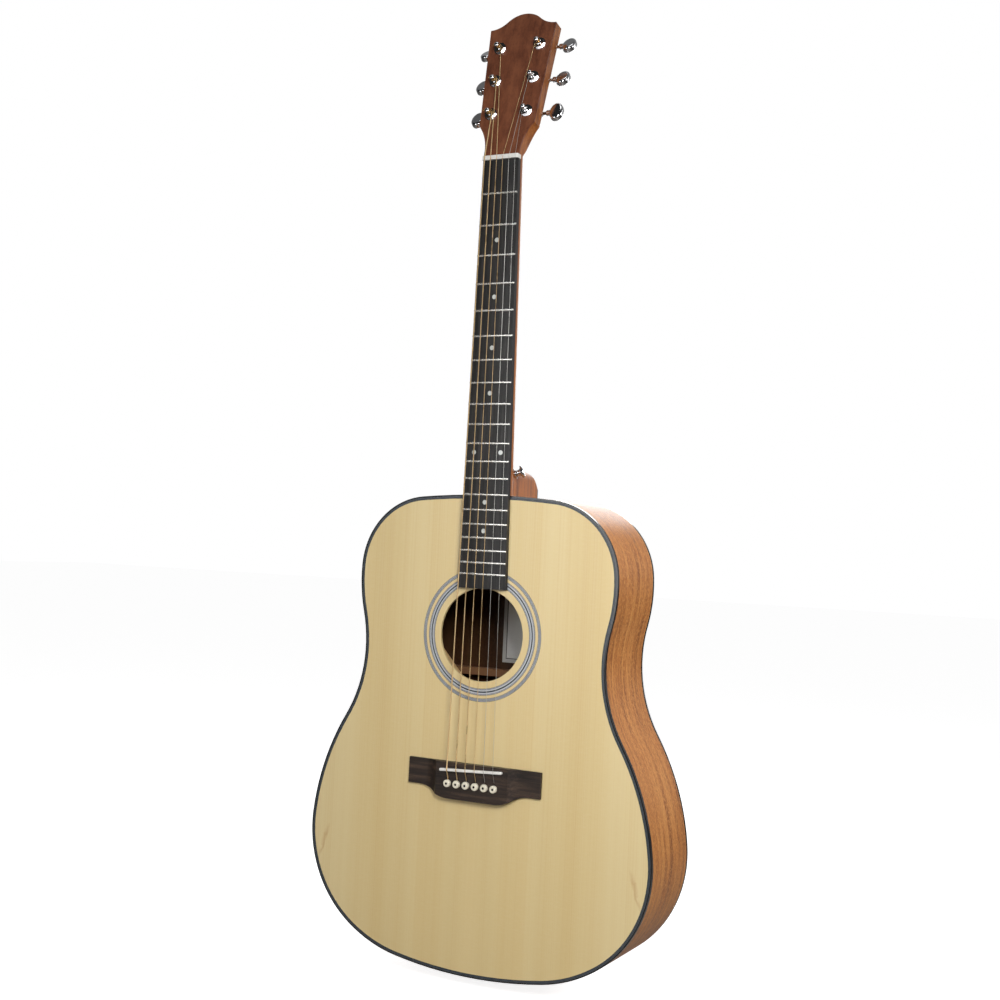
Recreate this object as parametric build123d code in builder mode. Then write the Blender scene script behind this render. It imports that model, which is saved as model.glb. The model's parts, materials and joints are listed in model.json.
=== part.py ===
"""Steel-string acoustic guitar of dreadnought size, as an assembly of its separate pieces.

Frame: +Z runs up along the neck, -Y is the front, +X is the treble side, millimetres.
The origin is the hanger seat, on the centre line where the headstock begins to widen,
in the plane of the soundboard's front face.
"""

import os
from math import asin, atan, atan2, cos, degrees, pi, radians, sin, tan

from build123d import *

os.makedirs("parts", exist_ok=True)

# ---- driving dimensions --------------------------------------------------------------

# Scale and neck
scale_length = 650.0
fret_count = 20
body_fret = 14
nut_drop = 24.0
nut_width = 42.8
board_end_width = 57.2
board_overrun = 15.5
board_thickness = 6.0
board_radius = 406.0
neck_depth_nut = 15.0
neck_depth_heel = 17.0
neck_rounding = 0.92

# Body: arcs of half the outline from the neck round to the tail, as (radius, turn);
# a negative turn is the waist, and a last arc closes the outline at the tail.
outline_arcs = [
    (880.0, 5.2),
    (82.4, 81.3),
    (170.0, 17.9),
    (152.0, -45.7),
    (265.0, 25.5),
    (127.0, 62.2),
    (157.5, 23.4),
]
body_depth_neck = 100.0
body_depth_tail = 104.5
top_thickness = 2.8
back_thickness = 2.8
side_thickness = 2.5
binding_face = 1.5
binding_height = 3.8
lining_width = 6.0
lining_height = 14.0

# Inlays in the soundboard, as widths of lines that take turns, pale and dark
inlay_depth = 1.2
purfling_lines = [0.5, 0.5, 0.5, 0.5, 0.4, 0.3]
hole_radius = 49.6
hole_below_board = 49.3
inner_ring_beyond_hole = 7.4
inner_ring_lines = [0.5, 0.5, 0.5, 1.4, 1.5, 1.4, 0.5, 0.5, 0.5]
outer_ring_beyond_hole = 17.8
outer_ring_lines = [0.52] * 7

# Frets, nut and position marks
fret_width = 2.3
fret_height = 1.1
fret_end_inset = 0.3
fret_rounding = 0.9
tang_width = 0.6
tang_depth = 1.8
nut_thickness = 4.6
nut_height = 8.4
nut_rounding = 1.2
single_marks = [3, 5, 7, 9, 15, 17]
double_marks = [12]
mark_radius = 2.5
mark_spread = 32.0
mark_depth = 1.5
side_mark_radius = 1.0

# Headstock, measured along its own face from the nut
head_tilt = 13.8
head_face_front = 5.1
head_thickness = 13.8
veneer_thickness = 1.8
head_flare_end = 37.5
head_flare_start = 5.0
head_width_low = 66.2
head_width_high = 80.2
head_side_top = 157.4
head_crest = 173.2
head_edge_rounding = 1.0

# Tuners
post_first = 51.3
post_pitch = 40.6
post_half_gauge_low = 21.6
post_half_gauge_high = 24.2
post_radius = 3.0
post_waist_radius = 2.0
post_tip_radius = 2.8
post_height = 11.4
barrel_radius = 5.0
bushing_height = 3.4
bushing_flats = 10.8
washer_radius = 7.0
washer_thickness = 0.8
gear_module = 0.6
wheel_teeth = 14
wheel_width = 2.2
worm_pitch_radius = 2.2
worm_turns = 3.0
shaft_radius = 1.8
running_gap = 0.05
housing_depth = 11.6
housing_wall = 1.6
collar_radius = 3.2
button_reach = 26.2
button_length = 15.6
button_breadth = 21.0
button_thickness = 7.6
screw_reach = 12.5
tooth_addendum = 0.5
tooth_dedendum = 0.75
tooth_root_half = 0.45
tooth_tip_half = 0.22
thread_sink = 0.3
gear_room = 0.35
shaft_overrun = 1.5
post_overrun = 1.0
post_shoulder = 0.5
knob_neck = 3.5
knob_bite = 1.0
button_rounding = 2.6
wrap_spacing = 1.9
lug_radius = 3.0
lug_thickness = 3.0
case_rounding = 2.5
case_edge_rounding = 1.2
collar_length = 3.0
bushing_sink = 4.0
screw_slot_width = 1.0
tuner_screw_radius = 1.2
tuner_screw_length = 8.0

# Strings, from the bass side to the treble side
string_names = ["low_e", "a", "d", "g", "b", "high_e"]
string_diameters = [1.346, 1.067, 0.813, 0.610, 0.406, 0.305]
string_spread_nut = 37.0
string_spread_pins = 55.6
string_gap = 0.05
string_seat = 0.6
wrap_foot = 4.6
wrap_turns = [3, 3, 4, 4, 5, 5]

# Which row of tuners each string goes to, counted from the nut, and the angle at which
# its button stands at rest
tuner_rows = [0, 1, 2, 2, 1, 0]
button_angles = [-21.0, -25.0, -39.0, -26.0, -26.0, -8.0]

# Bridge
bridge_width = 158.8
bridge_wing_length = 27.6
bridge_above_saddle = 6.6
bridge_height = 8.6
wing_thickness = 3.2
wing_scoop_end = 57.0
bridge_block_width = 86.0
belly_length = 11.2
belly_shoulder = 66.0
saddle_setback = 3.6
saddle_slant = 3.0
saddle_length = 75.0
saddle_thickness = 3.0
saddle_slot_depth = 5.0
saddle_height = 12.0
saddle_rounding = 1.0
pin_line_below_saddle = 15.9
pin_radius = 2.6
pin_head_radius = 4.1
pin_head_height = 3.4
pin_gap = 0.05
pin_head_rounding = 1.5
pin_dot_radius = 1.3
ramp_depth = 1.8
ball_radius = 2.2
belly_flat = 28.0

# Inside of the body
block_width = 76.0
block_length = 60.0
tail_block_width = 90.0
tail_block_length = 20.0
tenon_width = 19.0
tenon_length = 16.0
tenon_depth = 78.0
joint_gap = 0.15
bolt_radius = 3.0
bolt_head_radius = 5.5
bolt_head_height = 5.0
bolt_depths = [32.0, 62.0]
bolt_grip = 13.0
brace_gap = 0.3
brace_width = 8.0
bar_width = 12.0
bar_above_hole = 14.0
tone_bar_drops = [52.0, 96.0]
tone_bar_angle = 28.0
bridge_plate_width = 98.0
bridge_plate_length = 32.0
x_brace_height = 15.0
x_brace_angle = 48.0
x_cross_below_hole = 36.0
small_brace_height = 9.0
small_brace_width = 6.5
top_bar_height = 14.0
bridge_plate_thickness = 2.6
back_brace_height = 14.0
back_brace_drops = [70.0, 197.0, 315.0, 420.0]
back_strip_width = 18.0
back_strip_thickness = 2.0
label_width = 80.0
label_length = 76.0
label_corner_x = -24.0
label_above_brace = 7.5
label_thickness = 0.3
tail_graft_width = 12.0
cutting_room = 10.0

# Heel, strap buttons and truss rod
heel_half_width_front = 23.0
heel_half_width_back = 10.5
heel_rise = 29.5
heel_cap_rise = 10.0
heel_curve_start = 58.0
heel_corner = 9.0
heel_start_depth = 12.0
heel_cap_thickness = 2.2
heel_button_depth = 22.0
heel_button_rise = 24.0
heel_button_tilt = 20.0
heel_button_turn = 24.0
heel_button_sink = 1.5
strap_base_radius = 5.3
strap_waist_radius = 3.2
strap_head_radius = 6.8
strap_height = 10.4
strap_foot = 1.2
strap_rim = 3.2
strap_screw_radius = 2.0
strap_screw_length = 18.0
screw_head_radius = 3.6
screw_neck = 8.4
rod_depth = 7.4
rod_start = 3.0
rod_channel_depth = 10.2
rod_radius = 2.7
rod_channel_width = 6.0
rod_channel_radius = 4.2
rod_nut_radius = 3.6
rod_nut_length = 12.0
rod_nut_reach = 46.0
rod_socket_flats = 4.0

# ---- places worked out from them -----------------------------------------------------

nut_z = -nut_drop


def fret_z(number):
    """Height of a fret, or of the nut for number 0."""
    return nut_z - scale_length * (1 - 2 ** (-number / 12))


def board_half_width(z):
    """Half the fingerboard's width at a height."""
    share = (nut_z - z) / (nut_z - fret_z(fret_count))
    return (nut_width + (board_end_width - nut_width) * share) / 2


def sheet(depth):
    """Plane that faces the front, with X to the treble side and Y up the neck."""
    return Plane(origin=(0, depth, 0), x_dir=(1, 0, 0), z_dir=(0, -1, 0))


body_top_z = fret_z(body_fret)
board_end_z = fret_z(fret_count) - board_overrun
hole_z = board_end_z - hole_below_board
saddle_z = nut_z - scale_length - saddle_setback
pin_z = saddle_z - pin_line_below_saddle


def body_outline(inset=0.0):
    """The body's outline as a face, moved inwards by inset."""
    with BuildSketch() as outline:
        with BuildLine():
            end = Vector(0, body_top_z - inset)
            heading = 0.0
            for radius, turn in outline_arcs:
                bend = radius - inset if turn > 0 else radius + inset
                way = (cos(radians(heading)), sin(radians(heading)))
                end = JernArc(end, way, bend, -turn) @ 1
                heading -= turn
            way = (cos(radians(heading)), sin(radians(heading)))
            last_turn = 180 + heading
            JernArc(end, way, end.X / sin(radians(last_turn)), -last_turn)
            mirror(about=Plane.YZ)
        make_face()
    return outline.sketch


outline_box = body_outline().bounding_box()
body_bottom_z = outline_box.min.Y
depth_slope = (body_depth_tail - body_depth_neck) / (body_top_z - body_bottom_z)
deep_enough = max(body_depth_neck, body_depth_tail) + cutting_room


def back_plane(inwards=0.0):
    """Plane of the back's outer face, moved into the body."""
    face = Plane(
        origin=(0, body_depth_neck, body_top_z),
        x_dir=(1, 0, 0),
        z_dir=(0, 1, depth_slope),
    )
    return face.offset(-inwards)


def inner_depth(z):
    """Depth of the back's inner face at a height."""
    return body_depth_neck + (body_top_z - z) * depth_slope - back_thickness


def keep(piece, name):
    """Name a finished piece and write its file."""
    piece.part.label = name
    export_step(piece.part, f"parts/{name}.step")


def line_radii(start, widths):
    """Start and end of every line in a group of lines that lie side by side."""
    lines = []
    for width in widths:
        lines.append((start, start + width))
        start += width
    return lines


# ---- headstock frame -----------------------------------------------------------------

tilt = radians(head_tilt)
head_foot_z = nut_z + nut_thickness
head_plane = Plane(
    origin=(0, -head_face_front, head_foot_z),
    x_dir=(1, 0, 0),
    z_dir=(0, -cos(tilt), sin(tilt)),
)


def head_half_width(along):
    """Half the headstock's width above its flare."""
    share = (along - head_flare_end) / (head_side_top - head_flare_end)
    return (head_width_low + (head_width_high - head_width_low) * share) / 2


def head_outline(start):
    """Outline of the headstock's face from a distance along it up to the crest."""
    flare_out = head_width_low / 2 - nut_width / 2
    flare_rise = head_flare_end - head_flare_start
    flare_radius = (flare_out**2 + flare_rise**2) / (2 * flare_out)
    flare_turn = degrees(asin(flare_rise / flare_radius))
    crest_rise = head_crest - head_side_top
    crest_turn = 2 * degrees(atan(crest_rise / (head_width_high / 2)))
    crest_radius = head_width_high / 4 / sin(radians(crest_turn))
    with BuildSketch() as outline:
        with BuildLine():
            foot = (nut_width / 2, head_flare_start)
            if start < head_flare_start:
                low = Line((0, start), (nut_width / 2, start))
                Line(low @ 1, foot)
                corner = JernArc(foot, (0, 1), flare_radius, -flare_turn) @ 1
            else:
                low = Line((0, start), (head_half_width(start), start))
                corner = low @ 1
            shoulder = Line(corner, (head_width_high / 2, head_side_top)) @ 1
            dip = JernArc(shoulder, (-1, 0), crest_radius, -crest_turn)
            JernArc(dip @ 1, dip % 1, crest_radius, crest_turn)
            mirror(about=Plane.YZ)
        make_face()
    return outline.sketch


def post_along(row):
    """Distance of a tuner's post from the nut, along the headstock."""
    return post_first + post_pitch * row


def post_across(row):
    """Distance of a tuner's post from the centre line."""
    return post_half_gauge_low + (post_half_gauge_high - post_half_gauge_low) * row / 2


rows = [0, 1, 2]
worm_offset = gear_module * wheel_teeth / 2 + worm_pitch_radius
gear_depth = head_thickness + housing_depth / 2

# ---- bindings ------------------------------------------------------------------------

with BuildPart() as top_binding:
    with BuildSketch(sheet(0)):
        add(body_outline())
        add(body_outline(binding_face), mode=Mode.SUBTRACT)
    extrude(amount=-binding_height)
keep(top_binding, "top_binding")

with BuildPart() as back_binding:
    with BuildSketch(sheet(0)):
        add(body_outline())
        add(body_outline(binding_face), mode=Mode.SUBTRACT)
    extrude(amount=-deep_enough)
    split(bisect_by=back_plane(), keep=Keep.BOTTOM)
    split(bisect_by=back_plane(binding_height), keep=Keep.TOP)
keep(back_binding, "back_binding")

# ---- soundboard and its inlays -------------------------------------------------------

pin_xs = [string_spread_pins * (step / 5 - 0.5) for step in range(6)]
purfling_width = sum(purfling_lines)
ring_groups = [
    (hole_radius + inner_ring_beyond_hole, inner_ring_lines),
    (hole_radius + outer_ring_beyond_hole, outer_ring_lines),
]

with BuildPart() as soundboard:
    with BuildSketch(sheet(0)):
        add(body_outline(binding_face))
        with Locations((0, hole_z)):
            Circle(hole_radius, mode=Mode.SUBTRACT)
        with Locations([(x, pin_z) for x in pin_xs]):
            Circle(pin_radius + pin_gap, mode=Mode.SUBTRACT)
    extrude(amount=-top_thickness)
    with BuildSketch(sheet(0)):
        add(body_outline(binding_face))
        add(body_outline(binding_face + purfling_width), mode=Mode.SUBTRACT)
    extrude(amount=-inlay_depth, mode=Mode.SUBTRACT)
    for ring_start, ring_widths in ring_groups:
        with BuildSketch(sheet(0)):
            with Locations((0, hole_z)):
                Circle(ring_start + sum(ring_widths))
                Circle(ring_start, mode=Mode.SUBTRACT)
        extrude(amount=-inlay_depth, mode=Mode.SUBTRACT)
keep(soundboard, "soundboard")

for name, first in (("inlays_dark", 0), ("inlays_light", 1)):
    with BuildPart() as inlays:
        for ring_start, ring_widths in ring_groups:
            for near, far in line_radii(ring_start, ring_widths)[first::2]:
                with BuildSketch(sheet(0)):
                    with Locations((0, hole_z)):
                        Circle(far)
                        Circle(near, mode=Mode.SUBTRACT)
                extrude(amount=-inlay_depth)
        for near, far in line_radii(binding_face, purfling_lines)[1 - first :: 2]:
            with BuildSketch(sheet(0)):
                add(body_outline(near))
                add(body_outline(far), mode=Mode.SUBTRACT)
            extrude(amount=-inlay_depth)
    keep(inlays, name)

# ---- back ----------------------------------------------------------------------------

with BuildPart() as back_plate:
    with BuildSketch(sheet(0)):
        add(body_outline(binding_face))
    extrude(amount=-deep_enough)
    split(bisect_by=back_plane(), keep=Keep.BOTTOM)
    split(bisect_by=back_plane(back_thickness), keep=Keep.TOP)
keep(back_plate, "back_plate")

# ---- sides ---------------------------------------------------------------------------

tail_middle_depth = (top_thickness + inner_depth(body_bottom_z)) / 2

with BuildPart() as tail_graft:
    with BuildSketch(sheet(top_thickness)):
        add(body_outline())
        add(body_outline(side_thickness), mode=Mode.SUBTRACT)
        with Locations((0, body_bottom_z)):
            Rectangle(tail_graft_width, 4 * side_thickness, mode=Mode.INTERSECT)
    extrude(amount=-deep_enough)
    split(bisect_by=back_plane(back_thickness), keep=Keep.BOTTOM)
    add(top_binding.part, mode=Mode.SUBTRACT)
    add(back_binding.part, mode=Mode.SUBTRACT)
    with BuildSketch(Plane.XY.offset(body_bottom_z)):
        with Locations((0, tail_middle_depth)):
            Circle(strap_screw_radius)
    extrude(amount=4 * side_thickness, both=True, mode=Mode.SUBTRACT)
keep(tail_graft, "tail_graft")

with BuildPart() as rim:
    with BuildSketch(sheet(top_thickness)):
        add(body_outline())
        add(body_outline(side_thickness), mode=Mode.SUBTRACT)
        with Locations((0, body_bottom_z)):
            Rectangle(tail_graft_width, 4 * side_thickness, mode=Mode.SUBTRACT)
    extrude(amount=-deep_enough)
    split(bisect_by=back_plane(back_thickness), keep=Keep.BOTTOM)
    add(top_binding.part, mode=Mode.SUBTRACT)
    add(back_binding.part, mode=Mode.SUBTRACT)
    with BuildSketch(sheet(top_thickness)):
        with Locations((0, body_top_z)):
            Rectangle(tenon_width + 2 * joint_gap, 4 * side_thickness)
    extrude(amount=top_thickness - tenon_depth - joint_gap, mode=Mode.SUBTRACT)

for name, half in (("treble_side", Keep.TOP), ("bass_side", Keep.BOTTOM)):
    with BuildPart() as side:
        add(rim.part)
        split(bisect_by=Plane.YZ, keep=half)
    keep(side, name)

# ---- blocks --------------------------------------------------------------------------

block_end_z = body_top_z - block_length

with BuildPart() as neck_block:
    with BuildSketch(sheet(top_thickness)):
        add(body_outline(side_thickness))
        with Locations((0, body_top_z)):
            Rectangle(block_width, 2 * block_length, mode=Mode.INTERSECT)
    extrude(amount=-deep_enough)
    split(bisect_by=back_plane(back_thickness), keep=Keep.BOTTOM)
    with BuildSketch(sheet(top_thickness)):
        with Locations((0, body_top_z)):
            Rectangle(tenon_width + 2 * joint_gap, 2 * (tenon_length + joint_gap))
    extrude(amount=top_thickness - tenon_depth - joint_gap, mode=Mode.SUBTRACT)
    with BuildSketch(Plane.XY.offset(block_end_z)):
        with Locations((0, rod_depth)):
            Circle(rod_channel_radius)
        with Locations([(0, depth) for depth in bolt_depths]):
            Circle(bolt_radius + joint_gap)
    extrude(amount=block_length, mode=Mode.SUBTRACT)
keep(neck_block, "neck_block")

with BuildPart() as tail_block:
    with BuildSketch(sheet(top_thickness)):
        add(body_outline(side_thickness))
        with Locations((0, body_bottom_z)):
            Rectangle(tail_block_width, 2 * tail_block_length, mode=Mode.INTERSECT)
    extrude(amount=-deep_enough)
    split(bisect_by=back_plane(back_thickness), keep=Keep.BOTTOM)
    with BuildSketch(Plane.XY.offset(body_bottom_z)):
        with Locations((0, tail_middle_depth)):
            Circle(strap_screw_radius)
    extrude(amount=strap_screw_length, mode=Mode.SUBTRACT)
keep(tail_block, "tail_block")

# ---- linings, which stop at the blocks -----------------------------------------------

with BuildPart() as lining_ring:
    with BuildSketch(sheet(top_thickness)):
        add(body_outline(side_thickness))
        add(body_outline(side_thickness + lining_width), mode=Mode.SUBTRACT)
        with Locations((0, body_top_z)):
            Rectangle(block_width, 2 * block_length, mode=Mode.SUBTRACT)
        with Locations((0, body_bottom_z)):
            Rectangle(tail_block_width, 2 * tail_block_length, mode=Mode.SUBTRACT)
    extrude(amount=-deep_enough)

with BuildPart() as top_lining:
    add(lining_ring.part)
    split(bisect_by=sheet(top_thickness + lining_height), keep=Keep.TOP)

with BuildPart() as back_lining:
    add(lining_ring.part)
    split(bisect_by=back_plane(back_thickness), keep=Keep.BOTTOM)
    split(bisect_by=back_plane(back_thickness + lining_height), keep=Keep.TOP)

with BuildPart() as linings:
    add(top_lining.part)
    add(back_lining.part)
keep(linings, "linings")

# ---- braces and bridge plate under the soundboard ------------------------------------

brace_edge = side_thickness + lining_width + brace_gap
cross_z = hole_z - hole_radius - x_cross_below_hole
bar_z = hole_z + hole_radius + bar_above_hole
long_bar = 2 * (body_top_z - body_bottom_z)


def bar(middle_z, angle, width):
    """A long brace's plan, turned from the X direction about its middle."""
    with BuildSketch() as plan:
        with Locations(Location((0, middle_z, 0), (0, 0, angle))):
            Rectangle(long_bar, width)
    return plan.sketch


def room(top_z, bottom_z):
    """Inside of the body within the linings, between two heights."""
    with BuildPart() as inside:
        with BuildSketch(sheet(top_thickness)):
            add(body_outline(brace_edge))
            with Locations((0, top_z + long_bar / 2)):
                Rectangle(long_bar, long_bar, mode=Mode.SUBTRACT)
            with Locations((0, bottom_z - long_bar / 2)):
                Rectangle(long_bar, long_bar, mode=Mode.SUBTRACT)
        extrude(amount=-deep_enough)
    return inside.part


tail_end_z = body_bottom_z + side_thickness + tail_block_length + brace_gap
brace_room = room(block_end_z - brace_gap, tail_end_z)
x_room = room(bar_z - bar_width / 2 - brace_gap, tail_end_z)

x_arms = []
for angle, lap_depth in ((x_brace_angle, 0), (-x_brace_angle, x_brace_height / 2)):
    with BuildPart() as x_arm:
        with BuildSketch(sheet(top_thickness)):
            add(bar(cross_z, angle, brace_width))
        extrude(amount=-x_brace_height)
        add(x_room, mode=Mode.INTERSECT)
        with BuildSketch(sheet(top_thickness + lap_depth)):
            add(bar(cross_z, -angle, brace_width))
        extrude(amount=-x_brace_height / 2, mode=Mode.SUBTRACT)
    x_arms.append(x_arm.part)

with BuildPart() as x_braces:
    add(x_arms)
keep(x_braces, "x_braces")

with BuildPart() as bridge_plate:
    with BuildSketch(sheet(top_thickness)):
        with Locations((0, pin_z)):
            Rectangle(bridge_plate_width, bridge_plate_length)
        with Locations([(x, pin_z) for x in pin_xs]):
            Circle(pin_radius + pin_gap, mode=Mode.SUBTRACT)
        with BuildLine():
            apex_z = cross_z - brace_width / 2 / cos(radians(x_brace_angle))
            foot_z = apex_z - long_bar * tan(radians(x_brace_angle))
            Polyline((0, apex_z), (long_bar, foot_z), (-long_bar, foot_z), close=True)
        make_face(mode=Mode.INTERSECT)
    extrude(amount=-bridge_plate_thickness)
keep(bridge_plate, "bridge_plate")

with BuildPart() as top_braces:
    with BuildSketch(sheet(top_thickness)):
        add(bar(bar_z, 0, bar_width))
    extrude(amount=-top_bar_height)
    with BuildSketch(Plane.XY.offset(bar_z)):
        with Locations((0, rod_depth)):
            Circle(rod_channel_radius)
    extrude(amount=bar_width, both=True, mode=Mode.SUBTRACT)
    for drop in tone_bar_drops:
        with BuildSketch(sheet(top_thickness)):
            add(bar(pin_z - drop, -tone_bar_angle, small_brace_width))
        extrude(amount=-small_brace_height)
    add(brace_room, mode=Mode.INTERSECT)
    add(x_braces.part, mode=Mode.SUBTRACT)
    add(bridge_plate.part, mode=Mode.SUBTRACT)
keep(top_braces, "top_braces")

# ---- braces, centre strip and label inside the back ----------------------------------

label_bottom_z = body_top_z - back_brace_drops[1] + brace_width / 2 + label_above_brace
label_middle = (label_corner_x + label_width / 2, label_bottom_z + label_length / 2)

with BuildPart() as back_bars:
    with BuildSketch(sheet(0)):
        for drop in back_brace_drops:
            add(bar(body_top_z - drop, 0, brace_width))
    extrude(amount=-deep_enough)
    split(bisect_by=back_plane(back_thickness), keep=Keep.BOTTOM)
    split(bisect_by=back_plane(back_thickness + back_brace_height), keep=Keep.TOP)

with BuildPart() as back_braces:
    with BuildSketch(sheet(0)):
        with Locations((0, body_top_z)):
            Rectangle(back_strip_width, long_bar)
        with Locations(label_middle):
            Rectangle(label_width, label_length, mode=Mode.SUBTRACT)
    extrude(amount=-deep_enough)
    split(bisect_by=back_plane(back_thickness), keep=Keep.BOTTOM)
    split(bisect_by=back_plane(back_thickness + back_strip_thickness), keep=Keep.TOP)
    add(back_bars.part)
    add(brace_room, mode=Mode.INTERSECT)
keep(back_braces, "back_braces")

with BuildPart() as label:
    with BuildSketch(sheet(0)):
        with Locations(label_middle):
            Rectangle(label_width, label_length)
    extrude(amount=-deep_enough)
    split(bisect_by=back_plane(back_thickness), keep=Keep.BOTTOM)
    split(bisect_by=back_plane(back_thickness + label_thickness), keep=Keep.TOP)
keep(label, "label")

# ---- strap buttons -------------------------------------------------------------------

heel_share = (heel_button_depth - heel_start_depth) / (body_depth_neck - heel_start_depth)
heel_half_there = (
    heel_half_width_front + (heel_half_width_back - heel_half_width_front) * heel_share
)
heel_lean = radians(heel_button_tilt)
heel_turn = radians(heel_button_turn)
heel_seat = Plane(
    origin=(
        heel_half_there - heel_button_sink,
        heel_button_depth,
        body_top_z + heel_button_rise,
    ),
    x_dir=(-sin(heel_turn), cos(heel_turn), 0),
    z_dir=(cos(heel_lean) * cos(heel_turn), cos(heel_lean) * sin(heel_turn), sin(heel_lean)),
)
tail_seat = Plane(
    origin=(0, tail_middle_depth, body_bottom_z),
    x_dir=(1, 0, 0),
    z_dir=(0, 0, -1),
)


def axial(plane):
    """Plane through another's Z axis, for a profile of radius across and height up."""
    return Plane(origin=plane.origin, x_dir=plane.x_dir, z_dir=-plane.y_dir)


with BuildPart() as strap_buttons:
    for seat in (heel_seat, tail_seat):
        rim_low = strap_height - strap_rim
        with BuildSketch(axial(seat)):
            with BuildLine():
                Polyline((strap_screw_radius, 0), (strap_base_radius, 0))
                Line((strap_base_radius, 0), (strap_base_radius, strap_foot))
                ThreePointArc(
                    (strap_base_radius, strap_foot),
                    (strap_waist_radius, (strap_foot + rim_low) / 2),
                    (strap_head_radius, rim_low),
                )
                Line((strap_head_radius, rim_low), (strap_head_radius, rim_low + strap_foot))
                ThreePointArc(
                    (strap_head_radius, rim_low + strap_foot),
                    ((strap_head_radius + screw_head_radius) / 2, strap_height - strap_foot / 4),
                    (screw_head_radius, strap_height),
                )
                Line((screw_head_radius, strap_height), (strap_screw_radius, screw_neck))
                Line((strap_screw_radius, screw_neck), (strap_screw_radius, 0))
            make_face()
        revolve(axis=Axis(seat.origin, seat.z_dir))
keep(strap_buttons, "strap_buttons")

# ---- neck and headstock --------------------------------------------------------------


def neck_section(z, half_width, depth, front=0.0):
    """Section across the neck: flat in front, round behind."""
    with BuildSketch(Plane.XY.offset(z)) as section:
        with Locations((0, front)):
            Rectangle(2 * half_width, depth - front, align=(Align.CENTER, Align.MIN))
        fillet(section.vertices().group_by(Axis.Y)[-1], neck_rounding * depth)
    return section.sketch


with BuildPart() as heel_blank:
    for depth, half_width in (
        (heel_start_depth, heel_half_width_front),
        (body_depth_neck, heel_half_width_back),
    ):
        with BuildSketch(sheet(depth)) as heel_section:
            with Locations((0, body_top_z - side_thickness)):
                Rectangle(
                    2 * half_width,
                    heel_rise + side_thickness,
                    align=(Align.CENTER, Align.MIN),
                )
            fillet(heel_section.vertices().group_by(Axis.Y)[-1], heel_corner)
    loft()
    with BuildSketch(Plane.YZ):
        curve_run = body_depth_neck - heel_curve_start
        curve_fall = heel_rise - heel_cap_rise
        curve_radius = (curve_run**2 + curve_fall**2) / (2 * curve_fall)
        curve_turn = degrees(asin(curve_run / curve_radius))
        with BuildLine():
            top = Line((0, body_top_z + heel_rise), (heel_curve_start, body_top_z + heel_rise))
            curve = JernArc(top @ 1, (1, 0), curve_radius, -curve_turn)
            Polyline(
                curve @ 1,
                (body_depth_neck, body_top_z - 2 * side_thickness),
                (0, body_top_z - 2 * side_thickness),
                top @ 0,
            )
        make_face()
    extrude(amount=heel_half_width_front, both=True, mode=Mode.INTERSECT)
    with BuildSketch(sheet(0)):
        add(body_outline())
    extrude(amount=-deep_enough, mode=Mode.SUBTRACT)

with BuildPart() as heel_cap:
    add(heel_blank.part)
    split(bisect_by=back_plane(), keep=Keep.BOTTOM)
    split(bisect_by=back_plane(heel_cap_thickness), keep=Keep.TOP)
keep(heel_cap, "heel_cap")

with BuildPart() as heel:
    add(heel_blank.part)
    split(bisect_by=back_plane(heel_cap_thickness), keep=Keep.BOTTOM)

# The flare between the nut and the headstock's lower corners
head_back = head_thickness - veneer_thickness
flare_top = Plane(
    origin=head_plane.from_local_coords((0, head_flare_end, -veneer_thickness)),
    x_dir=(1, 0, 0),
    z_dir=head_plane.y_dir,
)

with BuildPart() as head_flare:
    flare_front = veneer_thickness / cos(tilt) - head_face_front
    add(neck_section(head_foot_z, nut_width / 2, neck_depth_nut, flare_front))
    with BuildSketch(flare_top) as flare_end:
        Rectangle(head_width_low + 2 * head_edge_rounding, head_back, align=(Align.CENTER, Align.MIN))
        fillet(flare_end.vertices().group_by(Axis.Y)[-1], head_edge_rounding)
    loft(ruled=True)
    with BuildSketch(head_plane):
        add(head_outline(0))
    extrude(amount=-3 * head_thickness, mode=Mode.INTERSECT)

tuner_spots = [(side * post_across(row), post_along(row)) for row in rows for side in (-1, 1)]

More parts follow.
